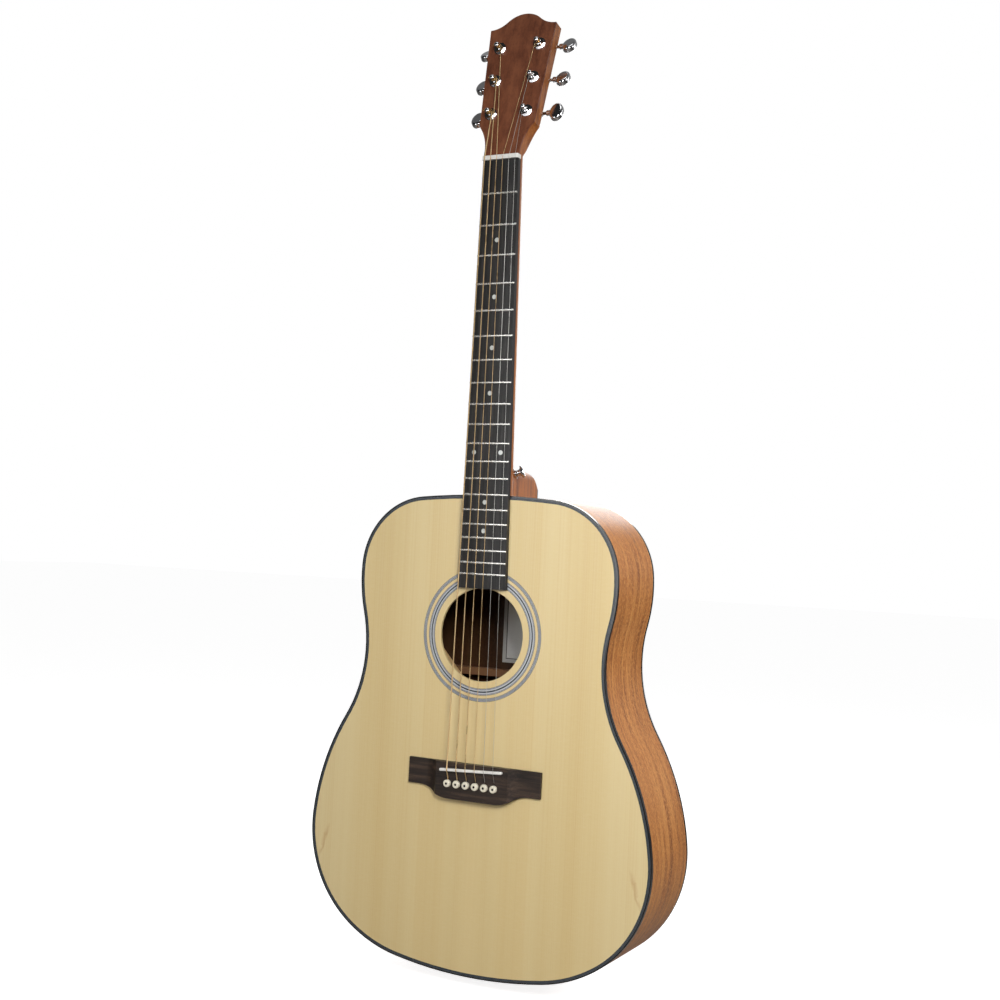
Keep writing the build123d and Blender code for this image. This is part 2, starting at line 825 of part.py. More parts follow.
with BuildPart() as neck:
    add(neck_section(head_foot_z, nut_width / 2, neck_depth_nut))
    add(neck_section(nut_z, nut_width / 2, neck_depth_nut))
    shaft_end_z = body_top_z - side_thickness
    add(neck_section(shaft_end_z, board_half_width(shaft_end_z), neck_depth_heel))
    loft(ruled=True)
    with BuildSketch(sheet(0)):
        add(body_outline())
    extrude(amount=-deep_enough, mode=Mode.SUBTRACT)
    add(heel.part)
    # Tenon into the neck block
    with BuildSketch(sheet(binding_height + joint_gap)):
        with Locations((0, body_top_z)):
            Rectangle(tenon_width, 2 * tenon_length)
    extrude(amount=binding_height + joint_gap - tenon_depth)
    # Headstock
    add(head_flare.part)
    with BuildSketch(head_plane.offset(-veneer_thickness)):
        add(head_outline(head_flare_end))
    extrude(amount=-head_back)
    with BuildSketch(head_plane):
        with Locations(tuner_spots):
            Circle(barrel_radius + running_gap)
    extrude(amount=-3 * head_thickness, mode=Mode.SUBTRACT)
    with BuildSketch(head_plane.offset(-head_thickness)):
        with Locations([(x, y - screw_reach) for x, y in tuner_spots]):
            Circle(tuner_screw_radius)
    extrude(amount=tuner_screw_length, mode=Mode.SUBTRACT)
    with BuildSketch(head_plane.offset(-head_thickness)):
        with Locations([(x, y - screw_reach) for x, y in tuner_spots]):
            Rectangle(2 * (lug_radius + joint_gap), 2 * (lug_radius + joint_gap))
    extrude(amount=-lug_thickness, mode=Mode.SUBTRACT)
    # Channel of the truss rod, open under the fingerboard and through the tenon
    with BuildSketch(Plane.XY.offset(nut_z - rod_start)):
        Rectangle(rod_channel_width, rod_channel_depth, align=(Align.CENTER, Align.MIN))
    extrude(amount=rod_start + body_bottom_z, mode=Mode.SUBTRACT)
    # Bolt holes and the strap button's seat and screw hole
    with BuildSketch(Plane.XY.offset(body_top_z - 2 * tenon_length)):
        with Locations([(0, depth) for depth in bolt_depths]):
            Circle(bolt_radius)
    extrude(amount=tenon_length + bolt_grip, mode=Mode.SUBTRACT)
    with BuildSketch(heel_seat):
        Circle(strap_base_radius + joint_gap)
    extrude(amount=strap_height, mode=Mode.SUBTRACT)
    with BuildSketch(heel_seat):
        Circle(strap_screw_radius)
    extrude(amount=-strap_screw_length, mode=Mode.SUBTRACT)
keep(neck, "neck")

with BuildPart() as headplate:
    with BuildSketch(head_plane):
        add(head_outline(0))
        with Locations(tuner_spots):
            Circle(barrel_radius + running_gap, mode=Mode.SUBTRACT)
    extrude(amount=-veneer_thickness)
    split(bisect_by=Plane.XY.offset(head_foot_z), keep=Keep.TOP)
keep(headplate, "headplate")

# ---- fingerboard, frets and marks ----------------------------------------------------

board_axis_depth = board_radius - board_thickness


def board_shell(z, length, inner, outer, half_width):
    """Slice of the rounded layer between two radii about the fingerboard's axis."""
    with BuildPart() as layer:
        with BuildSketch(Plane.XY.offset(z)):
            with Locations((0, board_axis_depth)):
                Circle(outer)
                Circle(inner, mode=Mode.SUBTRACT)
            Rectangle(2 * half_width, 4 * board_thickness, mode=Mode.INTERSECT)
        extrude(amount=length)
    return layer.part


with BuildPart() as board_blank:
    with BuildSketch(sheet(0)):
        with BuildLine():
            Polyline(
                (-board_half_width(nut_z), nut_z),
                (board_half_width(nut_z), nut_z),
                (board_half_width(board_end_z), board_end_z),
                (-board_half_width(board_end_z), board_end_z),
                close=True,
            )
        make_face()
    extrude(amount=board_thickness)
    with BuildSketch(Plane.XY.offset(board_end_z)):
        with Locations((0, board_axis_depth)):
            Circle(board_radius)
    extrude(amount=scale_length, mode=Mode.INTERSECT)

crown_radius = board_radius + fret_height

with BuildPart() as frets:
    for number in range(1, fret_count + 1):
        middle = fret_z(number)
        reach = board_half_width(middle) - fret_end_inset
        add(board_shell(middle - fret_width / 2, fret_width, board_radius, crown_radius, reach))
    tops = frets.edges().filter_by(GeomType.CIRCLE)
    fillet(tops.filter_by(lambda edge: edge.radius > crown_radius - fret_height / 2), fret_rounding)
    for number in range(1, fret_count + 1):
        middle = fret_z(number)
        reach = board_half_width(middle) - fret_end_inset
        foot = board_radius - tang_depth
        add(board_shell(middle - tang_width / 2, tang_width, foot, board_radius, reach))
keep(frets, "frets")


def between_frets(number):
    """Height halfway between a fret and the one before it."""
    return (fret_z(number) + fret_z(number - 1)) / 2


mark_spots = [(0, between_frets(number)) for number in single_marks]
for number in double_marks:
    mark_spots.append((-mark_spread / 2, between_frets(number)))
    mark_spots.append((mark_spread / 2, between_frets(number)))

with BuildPart() as position_marks:
    with BuildSketch(sheet(mark_depth - board_thickness)):
        with Locations(mark_spots):
            Circle(mark_radius)
    extrude(amount=board_thickness)
    for number in single_marks + double_marks:
        edge = board_half_width(between_frets(number))
        with BuildSketch(Plane.YZ.offset(mark_depth - edge)):
            with Locations((-board_thickness / 2, between_frets(number))):
                Circle(side_mark_radius)
        extrude(amount=-board_thickness)
    add(board_blank.part, mode=Mode.INTERSECT)
keep(position_marks, "position_marks")

with BuildPart() as fingerboard:
    add(board_blank.part)
    add(frets.part, mode=Mode.SUBTRACT)
    add(position_marks.part, mode=Mode.SUBTRACT)
keep(fingerboard, "fingerboard")

# ---- strings -------------------------------------------------------------------------

string_radii = [diameter / 2 for diameter in string_diameters]
nut_xs = [string_spread_nut * (step / 5 - 0.5) for step in range(6)]
bass_to_treble = range(6)


def string_side(index):
    """-1 for a string of the bass side's tuners, 1 for the treble side's."""
    return -1 if index < 3 else 1


def wrap_radius(index):
    """Outer radius of a string's turns about its post."""
    return post_waist_radius + 2 * string_radii[index]


def string_points(index):
    """Bends of a string's centre line, from its post to under the bridge plate."""
    radius = string_radii[index]
    side = string_side(index)
    row = tuner_rows[index]
    nut_point = Vector(nut_xs[index], -nut_height, nut_z + nut_thickness / 2)
    start = head_plane.to_local_coords(nut_point)
    post = Vector(side * post_across(row), post_along(row))
    run = post.sub(Vector(start.X, start.Y))
    offset = wrap_radius(index) + radius + string_gap
    swing = side * asin(offset / run.length)
    length = run.length * cos(swing)
    aim = atan2(run.Y, run.X) + swing
    level = wrap_foot + radius
    post_point = head_plane.from_local_coords(
        (start.X + length * cos(aim), start.Y + length * sin(aim), level)
    )
    mouth_z = pin_z + pin_radius - radius
    run_share = (nut_z - saddle_z) / (nut_z - mouth_z)
    saddle_x = nut_xs[index] + (pin_xs[index] - nut_xs[index]) * run_share
    saddle_point = Vector(
        saddle_x,
        -saddle_height - radius * string_seat,
        saddle_z + saddle_x * tan(radians(saddle_slant)),
    )
    mouth = Vector(pin_xs[index], ramp_depth - bridge_height, mouth_z)
    ball_depth = top_thickness + bridge_plate_thickness + ball_radius + string_gap
    ball = Vector(pin_xs[index], ball_depth, mouth_z)
    return [post_point, nut_point, saddle_point, mouth, ball]


def string_solid(index, radius):
    """A round rod along a string's route."""
    points = string_points(index)
    with BuildPart() as rod:
        with BuildLine():
            Polyline(points)
        with BuildSketch(Plane(origin=points[0], z_dir=points[1] - points[0])):
            Circle(radius)
        sweep(transition=Transition.RIGHT)
    return rod.part


for index in bass_to_treble:
    with BuildPart() as string:
        add(string_solid(index, string_radii[index]))
        with Locations(string_points(index)[-1]):
            Sphere(ball_radius)
    keep(string, f"string_{string_names[index]}")

string_rooms = [string_solid(index, string_radii[index] + string_gap) for index in bass_to_treble]

# ---- nut and saddle ------------------------------------------------------------------

with BuildPart() as nut:
    with BuildSketch(Plane.XY.offset(nut_z)) as nut_plan:
        Rectangle(nut_width, nut_height, align=(Align.CENTER, Align.MAX))
        fillet(nut_plan.vertices().group_by(Axis.Y)[0], nut_rounding)
    extrude(amount=nut_thickness)
    add(string_rooms, mode=Mode.SUBTRACT)
keep(nut, "nut")

with BuildPart() as saddle:
    with BuildSketch(sheet(saddle_slot_depth - bridge_height)):
        with Locations(Location((0, saddle_z, 0), (0, 0, saddle_slant))):
            SlotOverall(saddle_length, saddle_thickness)
    extrude(amount=saddle_height - bridge_height + saddle_slot_depth)
    fillet(saddle.faces().sort_by(Axis.Y)[0].edges(), saddle_rounding)
    add(string_rooms, mode=Mode.SUBTRACT)
keep(saddle, "saddle")

# ---- bridge and pins -----------------------------------------------------------------

bridge_top_z = saddle_z + bridge_above_saddle
wing_bottom_z = bridge_top_z - bridge_wing_length


def ogee_bend(run, fall):
    """Radius and turn of the two equal arcs of a level-ended ogee."""
    turn = 2 * atan(fall / run)
    return run / 2 / sin(turn), degrees(turn)


with BuildPart() as bridge:
    with BuildSketch(sheet(0)):
        belly_radius, belly_turn = ogee_bend(belly_shoulder - belly_flat, belly_length)
        with BuildLine():
            side = Polyline(
                (0, bridge_top_z),
                (bridge_width / 2, bridge_top_z),
                (bridge_width / 2, wing_bottom_z),
                (belly_shoulder, wing_bottom_z),
            )
            drop_arc = JernArc(side @ 1, (-1, 0), belly_radius, belly_turn)
            level_arc = JernArc(drop_arc @ 1, drop_arc % 1, belly_radius, -belly_turn)
            Line(level_arc @ 1, (0, wing_bottom_z - belly_length))
            mirror(about=Plane.YZ)
        make_face()
    extrude(amount=bridge_height)
    # Scooped wings
    scoop_run = wing_scoop_end - bridge_block_width / 2
    scoop_fall = bridge_height - wing_thickness
    scoop_radius = (scoop_run**2 + scoop_fall**2) / (2 * scoop_fall)
    scoop_turn = degrees(asin(scoop_run / scoop_radius))
    with BuildSketch(Plane.XY.offset(bridge_top_z)):
        with BuildLine():
            scoop = JernArc((wing_scoop_end, -wing_thickness), (-1, 0), scoop_radius, scoop_turn)
            Polyline(
                scoop @ 1,
                (bridge_block_width / 2, -2 * bridge_height),
                (bridge_width, -2 * bridge_height),
                (bridge_width, -wing_thickness),
                scoop @ 0,
            )
        make_face()
        mirror(about=Plane.YZ)
    extrude(amount=-bridge_width, mode=Mode.SUBTRACT)
    add(saddle.part, mode=Mode.SUBTRACT)
    with BuildSketch(sheet(-2 * bridge_height)):
        with Locations([(x, pin_z) for x in pin_xs]):
            Circle(pin_radius + pin_gap)
    extrude(amount=-2 * bridge_height, mode=Mode.SUBTRACT)
    # Ramps that lead the strings down into the pin holes
    for index in bass_to_treble:
        _, _, crest, mouth, _ = string_points(index)
        clear = string_radii[index] + string_gap
        with BuildSketch(Plane.YZ.offset(mouth.X)):
            with BuildLine():
                Polyline(
                    (mouth.Y + clear, mouth.Z),
                    (crest.Y + clear, crest.Z),
                    (-2 * saddle_height, crest.Z),
                    (-2 * saddle_height, mouth.Z),
                    close=True,
                )
            make_face()
        extrude(amount=clear, both=True, mode=Mode.SUBTRACT)
    add(string_rooms, mode=Mode.SUBTRACT)
keep(bridge, "bridge")

pin_end = top_thickness + bridge_plate_thickness - string_gap
pin_head_top = bridge_height + pin_head_height

with BuildPart() as pin_blanks:
    with BuildSketch(sheet(pin_end)):
        with Locations([(x, pin_z) for x in pin_xs]):
            Circle(pin_radius)
    extrude(amount=pin_end + bridge_height)
    with BuildSketch(sheet(-bridge_height)):
        with Locations([(x, pin_z) for x in pin_xs]):
            Circle(pin_head_radius)
    extrude(amount=pin_head_height)
    fillet(pin_blanks.faces().group_by(Axis.Y)[0].edges(), pin_head_rounding)
    add(string_rooms, mode=Mode.SUBTRACT)

with BuildPart() as bridge_pin_dots:
    with BuildSketch(sheet(-pin_head_top)):
        with Locations([(x, pin_z) for x in pin_xs]):
            Circle(pin_dot_radius)
    extrude(amount=-mark_depth)
keep(bridge_pin_dots, "bridge_pin_dots")

with BuildPart() as bridge_pins:
    add(pin_blanks.part)
    add(bridge_pin_dots.part, mode=Mode.SUBTRACT)
keep(bridge_pins, "bridge_pins")

# ---- truss rod, its nut and the neck bolts -------------------------------------------

rod_nut_top_z = body_top_z - rod_nut_reach

with BuildPart() as truss_rod:
    with BuildSketch(Plane.XY.offset(rod_nut_top_z - rod_nut_length / 2)):
        with Locations((0, rod_depth)):
            Circle(rod_radius)
    extrude(amount=nut_z - rod_start - rod_nut_top_z + rod_nut_length / 2)
keep(truss_rod, "truss_rod")

with BuildPart() as truss_rod_nut:
    with BuildSketch(Plane.XY.offset(rod_nut_top_z)):
        with Locations((0, rod_depth)):
            Circle(rod_nut_radius)
    extrude(amount=-rod_nut_length)
    with BuildSketch(Plane.XY.offset(rod_nut_top_z)):
        with Locations((0, rod_depth)):
            Circle(rod_radius + running_gap)
    extrude(amount=-rod_nut_length / 2 - running_gap, mode=Mode.SUBTRACT)
    with BuildSketch(Plane.XY.offset(rod_nut_top_z - rod_nut_length)):
        with Locations((0, rod_depth)):
            RegularPolygon(rod_socket_flats / 2, 6, major_radius=False)
    extrude(amount=rod_nut_length / 3, mode=Mode.SUBTRACT)
keep(truss_rod_nut, "truss_rod_nut")

with BuildPart() as neck_bolts:
    for depth in bolt_depths:
        with BuildSketch(Plane.XY.offset(block_end_z)):
            with Locations((0, depth)):
                Circle(bolt_radius)
        extrude(amount=block_length - tenon_length + bolt_grip)
        with BuildSketch(Plane.XY.offset(block_end_z - bolt_head_height)):
            with Locations((0, depth)):
                Circle(bolt_head_radius)
        extrude(amount=bolt_head_height)
        with BuildSketch(Plane.XY.offset(block_end_z - bolt_head_height)):
            with Locations((0, depth)):
                RegularPolygon(bolt_radius, 6, major_radius=False)
        extrude(amount=bolt_head_height / 2, mode=Mode.SUBTRACT)
keep(neck_bolts, "neck_bolts")

# ---- tuners --------------------------------------------------------------------------


def tuner_plane(row, height=0.0):
    """Plane across a treble-side tuner's post: X towards its button, Z out of the face."""
    return Plane(
        origin=head_plane.from_local_coords((post_across(row), post_along(row), height)),
        x_dir=head_plane.x_dir,
        z_dir=head_plane.z_dir,
    )


def worm_plane(row, reach=0.0):
    """Plane across a treble-side tuner's button shaft, Z along it and outwards."""
    post_plane = tuner_plane(row)
    return Plane(
        origin=post_plane.from_local_coords((reach, worm_offset, -gear_depth)),
        x_dir=-post_plane.y_dir,
        z_dir=post_plane.x_dir,
    )


def turned(plane, angle):
    """A plane turned about its own Z axis."""
    swing = radians(angle)
    x_dir = plane.x_dir * cos(swing) + plane.y_dir * sin(swing)
    return Plane(origin=plane.origin, x_dir=x_dir, z_dir=plane.z_dir)


housing_middle = -housing_depth / 2
wheel_pitch_radius = gear_module * wheel_teeth / 2
wheel_root_radius = wheel_pitch_radius - tooth_dedendum
wheel_tip_radius = wheel_pitch_radius + tooth_addendum
worm_root_radius = worm_pitch_radius - tooth_dedendum
worm_tip_radius = worm_pitch_radius + tooth_addendum
worm_pitch = pi * gear_module
worm_half_length = worm_turns * worm_pitch / 2 + worm_pitch / 2
shaft_inner_end = worm_half_length + shaft_overrun
post_foot = gear_depth + wheel_width / 2 + post_overrun
wall_start = worm_half_length + gear_room
wall_end = wall_start + housing_wall
knob_start = button_reach - button_length / 2

# One thread for all the worms, along Z from the origin
with BuildPart() as worm_thread:
    with BuildLine():
        thread = Helix(worm_pitch, worm_turns * worm_pitch, worm_pitch_radius)
    with BuildSketch(Plane(origin=thread @ 0, x_dir=(1, 0, 0), z_dir=thread % 0)):
        Polygon(
            (worm_root_radius - worm_pitch_radius - thread_sink, -tooth_root_half),
            (tooth_addendum, -tooth_tip_half),
            (tooth_addendum, tooth_tip_half),
            (worm_root_radius - worm_pitch_radius - thread_sink, tooth_root_half),
            align=None,
        )
    sweep(path=thread, is_frenet=True)

# Treble-side pieces of each row; the bass side's are their mirror images
post_solids = []
button_solids = []

for row in rows:
    with BuildPart() as post_solid:
        with BuildSketch(axial(tuner_plane(row))):
            with BuildLine():
                tip_rise = post_tip_radius / 2
                tip_low = post_height - tip_rise
                tip_dome = (post_tip_radius**2 + tip_rise**2) / (2 * tip_rise)
                profile = Polyline(
                    (0, -post_foot),
                    (post_radius, -post_foot),
                    (post_radius, bushing_height + post_shoulder),
                    (post_waist_radius, bushing_height + 2 * post_shoulder),
                    (post_waist_radius, tip_low - 2 * post_shoulder),
                    (post_tip_radius, tip_low - post_shoulder),
                    (post_tip_radius, tip_low),
                )
                dome = RadiusArc(profile @ 1, (0, post_height), -tip_dome)
                Line(dome @ 1, profile @ 0)
            make_face()
        revolve(axis=Axis(tuner_plane(row).origin, head_plane.z_dir))
        with BuildSketch(tuner_plane(row, -gear_depth - wheel_width / 2)):
            Circle(wheel_root_radius)
            with PolarLocations(0, wheel_teeth, start_angle=90 + 180 / wheel_teeth):
                Polygon(
                    (post_waist_radius, -tooth_root_half),
                    (wheel_tip_radius, -tooth_tip_half),
                    (wheel_tip_radius, tooth_tip_half),
                    (post_waist_radius, tooth_root_half),
                    align=None,
                )
        extrude(amount=wheel_width)
    post_solids.append(post_solid.part)

    with BuildPart() as worm_shaft:
        with BuildSketch(worm_plane(row, -shaft_inner_end)):
            Circle(worm_root_radius)
        extrude(amount=shaft_inner_end + worm_half_length)
        with BuildSketch(worm_plane(row, worm_half_length + gear_room)):
            Circle(shaft_radius)
        extrude(amount=knob_start + knob_bite - worm_half_length - gear_room)
        with BuildSketch(worm_plane(row, worm_half_length)):
            Circle(worm_root_radius)
        extrude(amount=gear_room)
        with BuildSketch(worm_plane(row, knob_start - knob_neck)):
            Circle(collar_radius)
        extrude(amount=knob_neck + knob_bite)
        thread_start = worm_plane(row, -worm_turns * worm_pitch / 2)
        with Locations(turned(thread_start, -180 * worm_turns).location):
            add(worm_thread.part)
    button_solids.append(worm_shaft.part)


def mirrored(solid, side):
    """A treble-side solid, or its mirror image for the bass side."""
    return solid if side > 0 else mirror(solid, about=Plane.YZ)


def knob(row, angle):
    """The oval end of a treble-side button, turned by angle about its shaft."""
    flat = turned(worm_plane(row, button_reach), angle)
    with BuildPart() as oval:
        with BuildSketch(Plane(origin=flat.origin, x_dir=flat.z_dir, z_dir=flat.y_dir)):
            Ellipse(button_length / 2, button_breadth / 2)
        extrude(amount=button_thickness / 2, both=True)
        fillet(oval.edges().filter_by(lambda edge: edge.length > button_length), button_rounding)
    return oval.part


for index in bass_to_treble:
    side = string_side(index)
    row = tuner_rows[index]
    name = string_names[index]
    with BuildPart() as tuner_post:
        add(mirrored(post_solids[row], side))
    keep(tuner_post, f"tuner_post_{name}")
    with BuildPart() as tuner_button:
        add(mirrored(button_solids[row], side))
        add(mirrored(knob(row, button_angles[index]), side))
    keep(tuner_button, f"tuner_button_{name}")
    radius = string_radii[index]
    with BuildPart() as string_wraps:
        with BuildSketch(axial(tuner_plane(row, wrap_foot))):
            rise = wrap_spacing * radius * (wrap_turns[index] - 1)
            with Locations((post_waist_radius, radius)):
                Rectangle(radius, rise + radius / 2, align=(Align.MIN, Align.MIN))
            for turn in range(wrap_turns[index]):
                with Locations((post_waist_radius + radius, radius + wrap_spacing * radius * turn)):
                    Circle(radius)
        revolve(axis=Axis(tuner_plane(row).origin, head_plane.z_dir))
    with BuildPart() as side_wraps:
        add(mirrored(string_wraps.part, side))
    keep(side_wraps, f"string_wraps_{name}")

with BuildPart() as tuner_housings:
    for row in rows:
        with BuildSketch(tuner_plane(row, -head_thickness)):
            case_top = worm_offset + worm_tip_radius + gear_room + housing_wall
            case_side = wheel_tip_radius + gear_room + housing_wall
            with Locations((wall_end, case_top)):
                Rectangle(wall_end + case_side, case_top + case_side, align=(Align.MAX, Align.MAX))
        extrude(amount=-housing_depth)
        with BuildSketch(tuner_plane(row, -head_thickness)):
            with Locations((0, -screw_reach)):
                Circle(lug_radius)
            with Locations((0, -screw_reach)):
                Rectangle(2 * lug_radius, screw_reach, align=(Align.CENTER, Align.MIN))
        extrude(amount=-lug_thickness)
    upright = tuner_housings.edges().filter_by(Axis(head_plane.origin, head_plane.z_dir))
    fillet(upright.filter_by(lambda edge: edge.length > housing_depth / 2), case_rounding)
    case_backs = tuner_housings.faces().filter_by(
        lambda face: face.center().sub(head_plane.origin).dot(head_plane.z_dir)
        < housing_middle - head_thickness
    )
    fillet(case_backs.filter_by(head_plane).edges(), case_edge_rounding)
    for row in rows:
        with BuildSketch(worm_plane(row, wall_end)):
            Circle(collar_radius)
        extrude(amount=collar_length)
        with BuildSketch(tuner_plane(row, -head_thickness)):
            Circle(barrel_radius)
        extrude(amount=head_thickness - bushing_sink)
        with BuildSketch(tuner_plane(row, -post_foot - gear_room)):
            Circle(post_radius + running_gap)
        extrude(amount=post_foot + gear_room, mode=Mode.SUBTRACT)
        with BuildSketch(tuner_plane(row, -gear_depth - wheel_width / 2 - gear_room)):
            Circle(wheel_tip_radius + gear_room)
        extrude(amount=wheel_width + 2 * gear_room, mode=Mode.SUBTRACT)
        with BuildSketch(worm_plane(row, -shaft_inner_end - gear_room)):
            Circle(worm_root_radius + running_gap)
        extrude(amount=shaft_inner_end + worm_half_length, mode=Mode.SUBTRACT)
        with BuildSketch(worm_plane(row, -worm_half_length)):
            Circle(worm_tip_radius + gear_room)
        extrude(amount=2 * worm_half_length + gear_room, mode=Mode.SUBTRACT)
        with BuildSketch(worm_plane(row)):
            Circle(shaft_radius + running_gap)
        extrude(amount=button_reach, mode=Mode.SUBTRACT)
        with BuildSketch(tuner_plane(row, -head_thickness)):
            with Locations((0, -screw_reach)):
                Circle(tuner_screw_radius)
        extrude(amount=-lug_thickness, mode=Mode.SUBTRACT)
    mirror(about=Plane.YZ)
keep(tuner_housings, "tuner_housings")

with BuildPart() as tuner_bushings:
    for row in rows:
        with BuildSketch(tuner_plane(row)):
            Circle(washer_radius)
        extrude(amount=washer_thickness)
        with BuildSketch(tuner_plane(row, washer_thickness)):
            RegularPolygon(bushing_flats / 2, 6, major_radius=False)
        extrude(amount=bushing_height - washer_thickness)
        with BuildSketch(tuner_plane(row, -bushing_sink)):
            Circle(barrel_radius)
        extrude(amount=bushing_sink)
        with BuildSketch(tuner_plane(row, -bushing_sink)):
            Circle(post_radius + running_gap)
        extrude(amount=bushing_sink + bushing_height, mode=Mode.SUBTRACT)
    mirror(about=Plane.YZ)
keep(tuner_bushings, "tuner_bushings")

with BuildPart() as wood_screws:
    for row in rows:
        lug_back = tuner_plane(row, -head_thickness - lug_thickness)
        with BuildSketch(lug_back):
            with Locations((0, -screw_reach)):
                Circle(tuner_screw_radius)
        extrude(amount=lug_thickness + tuner_screw_length)
        with BuildSketch(lug_back):
            with Locations((0, -screw_reach)):
                Circle(lug_radius - running_gap)
        extrude(amount=-tuner_screw_radius)
    mirror(about=Plane.YZ)
    for seat in (heel_seat, tail_seat):
        with BuildSketch(axial(seat)):
            with BuildLine():
                Polyline(
                    (0, -strap_screw_length),
                    (strap_screw_radius, -strap_screw_length),
                    (strap_screw_radius, screw_neck),
                    (screw_head_radius, strap_height),
                    (0, strap_height),
                    close=True,
                )
            make_face()
        revolve(axis=Axis(seat.origin, seat.z_dir))
        with BuildSketch(seat.offset(strap_height)):
            Rectangle(screw_head_radius, screw_slot_width)
            Rectangle(screw_slot_width, screw_head_radius)
        extrude(amount=-screw_slot_width, mode=Mode.SUBTRACT)
keep(wood_screws, "wood_screws")
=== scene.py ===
import json
import math

import bpy
from mathutils import Matrix, Vector


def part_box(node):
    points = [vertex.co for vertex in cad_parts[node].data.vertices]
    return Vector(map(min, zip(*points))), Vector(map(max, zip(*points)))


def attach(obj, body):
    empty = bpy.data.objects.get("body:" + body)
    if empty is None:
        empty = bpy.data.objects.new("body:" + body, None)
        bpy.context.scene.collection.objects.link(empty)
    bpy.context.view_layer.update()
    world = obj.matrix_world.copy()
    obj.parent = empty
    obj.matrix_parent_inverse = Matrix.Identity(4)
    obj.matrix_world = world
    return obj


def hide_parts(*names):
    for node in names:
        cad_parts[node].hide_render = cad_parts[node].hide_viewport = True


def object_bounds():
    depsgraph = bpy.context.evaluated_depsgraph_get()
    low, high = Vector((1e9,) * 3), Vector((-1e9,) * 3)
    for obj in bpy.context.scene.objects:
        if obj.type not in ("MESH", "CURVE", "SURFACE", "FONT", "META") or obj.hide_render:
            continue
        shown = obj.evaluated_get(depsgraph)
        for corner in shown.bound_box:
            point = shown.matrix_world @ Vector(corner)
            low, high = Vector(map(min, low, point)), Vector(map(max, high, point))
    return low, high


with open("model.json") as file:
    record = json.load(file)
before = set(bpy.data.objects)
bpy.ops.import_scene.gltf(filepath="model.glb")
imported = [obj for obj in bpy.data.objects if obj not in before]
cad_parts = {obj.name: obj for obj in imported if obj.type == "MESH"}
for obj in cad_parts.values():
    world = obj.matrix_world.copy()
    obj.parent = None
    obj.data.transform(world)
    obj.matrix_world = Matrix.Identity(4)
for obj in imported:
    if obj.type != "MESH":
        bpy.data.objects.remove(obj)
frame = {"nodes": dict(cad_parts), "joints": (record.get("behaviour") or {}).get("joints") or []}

cad_low, cad_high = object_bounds()
nodes = frame["nodes"]
joints = {joint["name"]: joint for joint in frame["joints"]}

MM = 0.001
STRINGS = ["low_e", "a", "d", "g", "b", "high_e"]
HOLE_Z = -0.53406
WOUND = STRINGS[:4]
PLAIN = STRINGS[4:]


# ---- building materials from nodes -----------------------------------------------------


